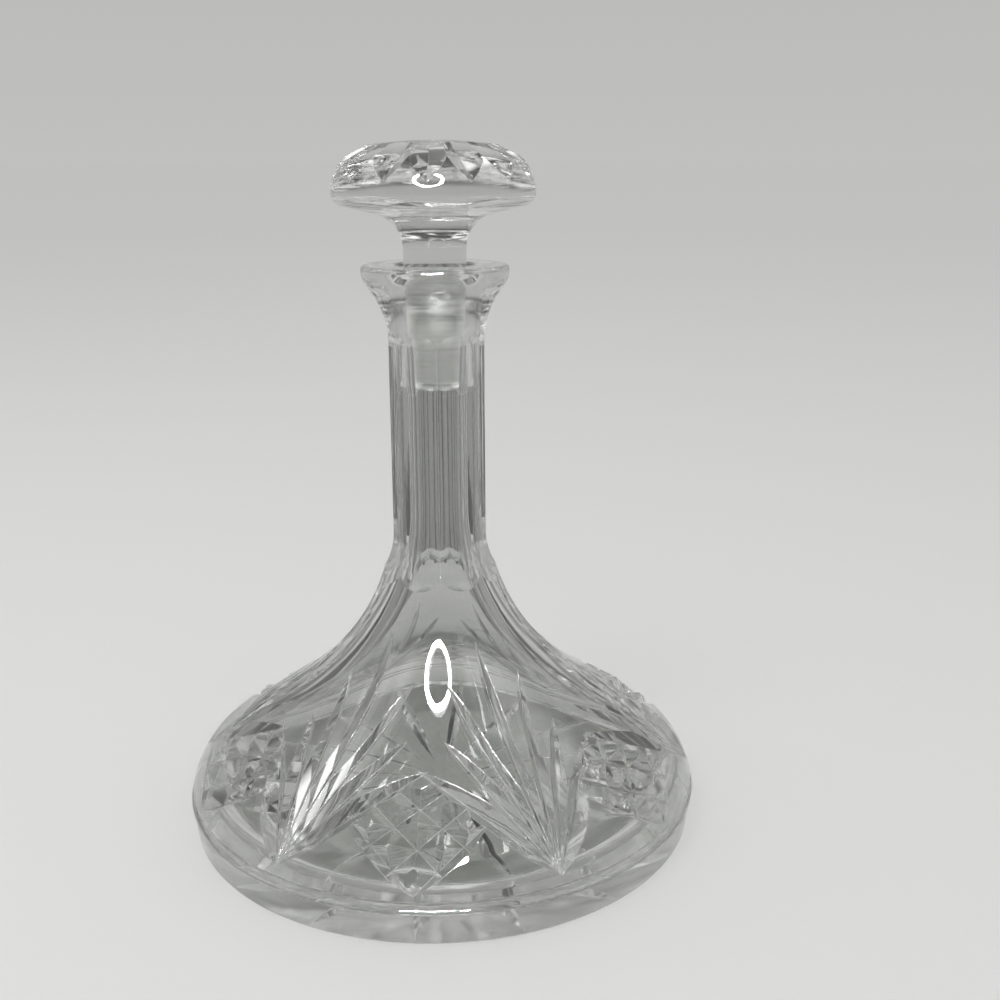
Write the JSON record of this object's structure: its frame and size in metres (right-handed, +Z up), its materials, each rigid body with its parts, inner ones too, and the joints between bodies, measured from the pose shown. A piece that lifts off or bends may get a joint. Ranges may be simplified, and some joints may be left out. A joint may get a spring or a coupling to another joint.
{
  "type": "ships decanter",
  "caption": "Cut-glass ship's decanter: a broad low bowl with fans and diamonds sweeps up into a panelled neck, closed by a lift-out mushroom stopper with a ground taper.",
  "frame": {"origin": "centre of the resting ring under the foot, on the decanter's axis", "axes": "+Z up the axis, -Y towards the middle of one cut diamond, the front in the picture"},
  "size_m": [0.1972, 0.1972, 0.2546],
  "materials": {
    "decanter_glass": "polished clear crystal, fine-ground in the socket",
    "stopper_glass": "polished clear crystal, fine-ground on the plug"
  },
  "bodies": {
    "decanter": {"decanter_body": "decanter_glass"},
    "stopper": {"stopper": "stopper_glass"}
  },
  "joints": [
    {"name": "stopper_lift", "type": "slide", "parent": "decanter", "child": "stopper", "axis": [0, 0, 1], "range_m": [0, 0.06]}
  ]
}
